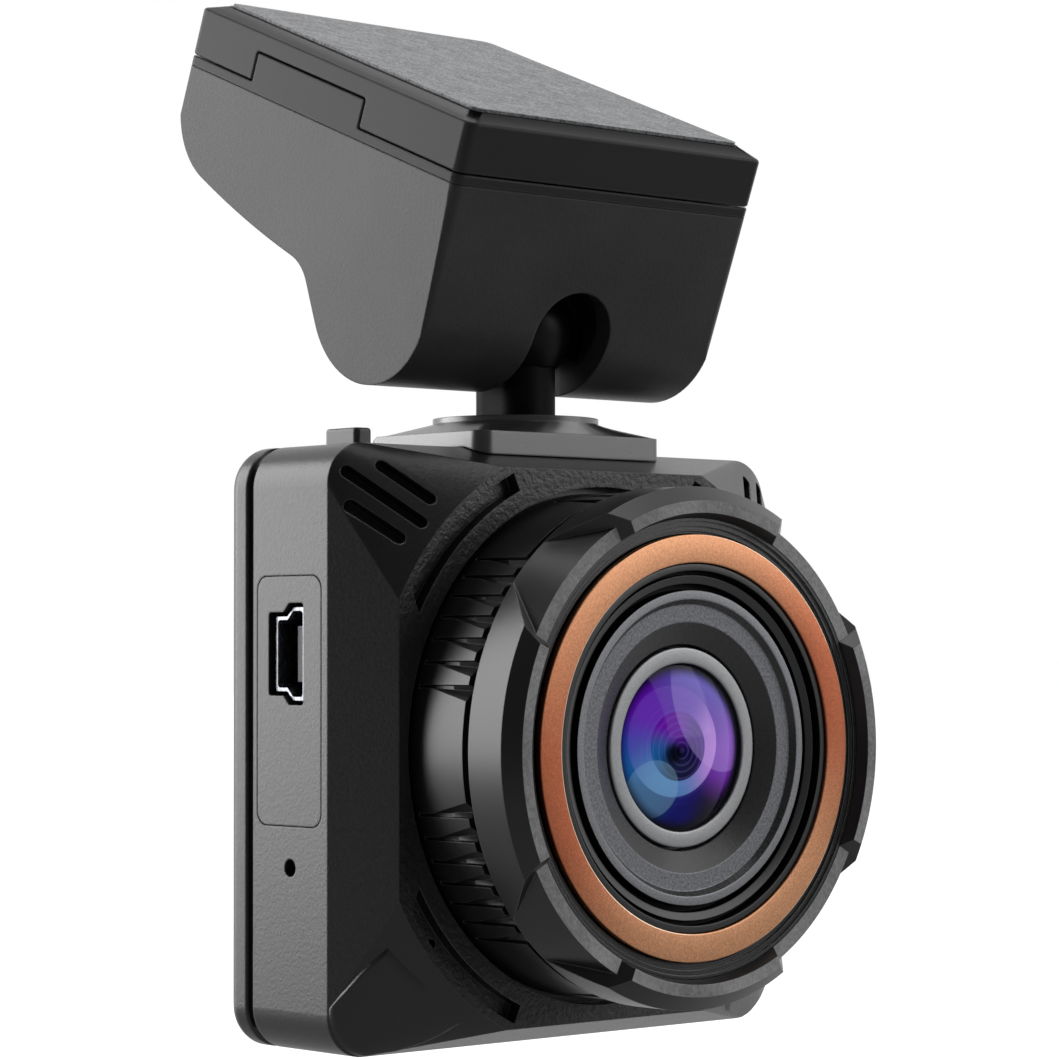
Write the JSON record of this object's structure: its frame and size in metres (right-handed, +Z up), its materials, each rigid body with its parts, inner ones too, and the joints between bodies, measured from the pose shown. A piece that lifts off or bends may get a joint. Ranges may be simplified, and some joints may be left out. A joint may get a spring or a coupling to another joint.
{
  "type": "dash camera",
  "caption": "Square dash camera with a ribbed lens barrel and copper trim ring, hanging by a slide-on shoe, arm and ball joint from a stick-on windscreen bracket.",
  "frame": {"origin": "middle of the adhesive pad's outer face, where it meets the windscreen", "axes": "+Z up, the lens looks along -Y, +X to the right seen from the front; the pad leans back 21.6 degrees about X"},
  "size_m": [0.0505, 0.0499, 0.0904],
  "materials": {
    "case_black": "fine moulded grain",
    "nose_black": "coarse spark texture",
    "barrel_black": "satin",
    "bezel_black": "satin",
    "trim_copper": "fine blasted, copper anodised",
    "surround_grey": "fine grained",
    "lens_metal": "black anodised",
    "lens_glass": "coated",
    "clear_glass": "polished",
    "screen_glass": "polished",
    "display": "smooth",
    "key_black": "satin",
    "bracket_black": "fine moulded grain",
    "base_gloss": "polished",
    "pad_foam": "foam tape with a grained liner",
    "ball_black": "smooth acetal",
    "cup_plastic": "natural acetal",
    "shoe_black": "satin gloss",
    "steel": "zinc plated",
    "inlet_metal": "tinned",
    "contact_gold": "gold plated",
    "tongue_black": "smooth",
    "board_green": "solder mask",
    "chip_black": "moulded",
    "holder_black": "moulded",
    "cell_foil": "foil",
    "card_black": "smooth"
  },
  "bodies": {
    "windscreen_base": {"adhesive_pad": "pad_foam", "adhesive_base": "base_gloss"},
    "bracket": {"bracket_lid": "base_gloss", "bracket_housing": "bracket_black", "lid_screws": "steel", "socket_clamp": "holder_black", "clamp_screws": "steel"},
    "cup": {"friction_cup": "cup_plastic"},
    "ball": {"pivot_ball": "ball_black"},
    "arm": {"arm_post": "shoe_black", "mount_shoe": "shoe_black", "shoe_screw": "steel"},
    "camera": {"front_shell": "case_black", "rib_ring": "barrel_black", "bezel_ring": "bezel_black", "step_ring": "surround_grey", "copper_ring": "trim_copper", "lens_surround": "surround_grey", "lens_tube": "lens_metal", "lens_ring": "surround_grey", "front_lens": "lens_glass", "middle_lens": "clear_glass", "rear_lens": "clear_glass", "rear_cover": "case_black", "case_screws": "steel", "screen_window": "screen_glass", "display_panel": "display", "display_frame": "holder_black", "key_switches": "steel", "side_panel": "case_black", "usb_shell": "inlet_metal", "usb_tongue": "tongue_black", "usb_pins": "contact_gold", "power_switch": "steel", "reset_switch": "steel", "main_board": "board_green", "board_screws": "steel", "board_connector": "tongue_black", "sensor_board": "board_green", "image_sensor": "display", "light_filter": "clear_glass", "lens_holder": "holder_black", "processor": "chip_black", "battery_cell": "cell_foil", "microphone": "steel", "speaker": "chip_black", "card_slot": "steel"},
    "menu_key": {"key_power_menu": "key_black"},
    "up_key": {"key_up": "key_black"},
    "down_key": {"key_down": "key_black"},
    "confirm_key": {"key_confirm": "key_black"},
    "power_key": {"power_button": "key_black"},
    "reset_key": {"reset_button": "tongue_black"},
    "card": {"memory_card": "card_black"}
  },
  "joints": [
    {"name": "bracket_slide", "type": "slide", "parent": "windscreen_base", "child": "bracket", "axis": [-1, 0, 0], "range_m": [0, 0.034]},
    {"name": "ball_lean", "type": "hinge", "parent": "bracket", "child": "cup", "pos_m": [0, -0.0043, -0.02285], "axis": [0, 1, 0], "range_deg": [-8, 8]},
    {"name": "ball_tilt", "type": "hinge", "parent": "cup", "child": "ball", "pos_m": [0, -0.0043, -0.02285], "axis": [1, 0, 0], "range_deg": [-60, 30]},
    {"name": "ball_swivel", "type": "hinge", "parent": "ball", "child": "arm", "pos_m": [0, -0.0043, -0.02285], "axis": [0, 0, 1], "range_deg": [-180, 180]},
    {"name": "camera_slide", "type": "slide", "parent": "arm", "child": "camera", "axis": [-1, 0, 0], "range_m": [0, 0.036]},
    {"name": "card_slide", "type": "slide", "parent": "camera", "child": "card", "axis": [1, 0, 0], "range_m": [-0.0008, 0.016]},
    {"name": "power_press", "type": "slide", "parent": "camera", "child": "power_key", "axis": [0, 0, -1], "range_m": [0, 0.0004], "stiffness_N_per_m": 2500, "springref_m": -0.0002},
    {"name": "reset_press", "type": "slide", "parent": "camera", "child": "reset_key", "axis": [1, 0, 0], "range_m": [0, 0.0003], "stiffness_N_per_m": 2500, "springref_m": -0.0002},
    {"name": "menu_press", "type": "slide", "parent": "camera", "child": "menu_key", "axis": [0, -1, 0], "range_m": [0, 0.0004], "stiffness_N_per_m": 2500, "springref_m": -0.0002},
    {"name": "up_press", "type": "slide", "parent": "camera", "child": "up_key", "axis": [0, -1, 0], "range_m": [0, 0.0004], "stiffness_N_per_m": 2500, "springref_m": -0.0002},
    {"name": "down_press", "type": "slide", "parent": "camera", "child": "down_key", "axis": [0, -1, 0], "range_m": [0, 0.0004], "stiffness_N_per_m": 2500, "springref_m": -0.0002},
    {"name": "confirm_press", "type": "slide", "parent": "camera", "child": "confirm_key", "axis": [0, -1, 0], "range_m": [0, 0.0004], "stiffness_N_per_m": 2500, "springref_m": -0.0002}
  ]
}
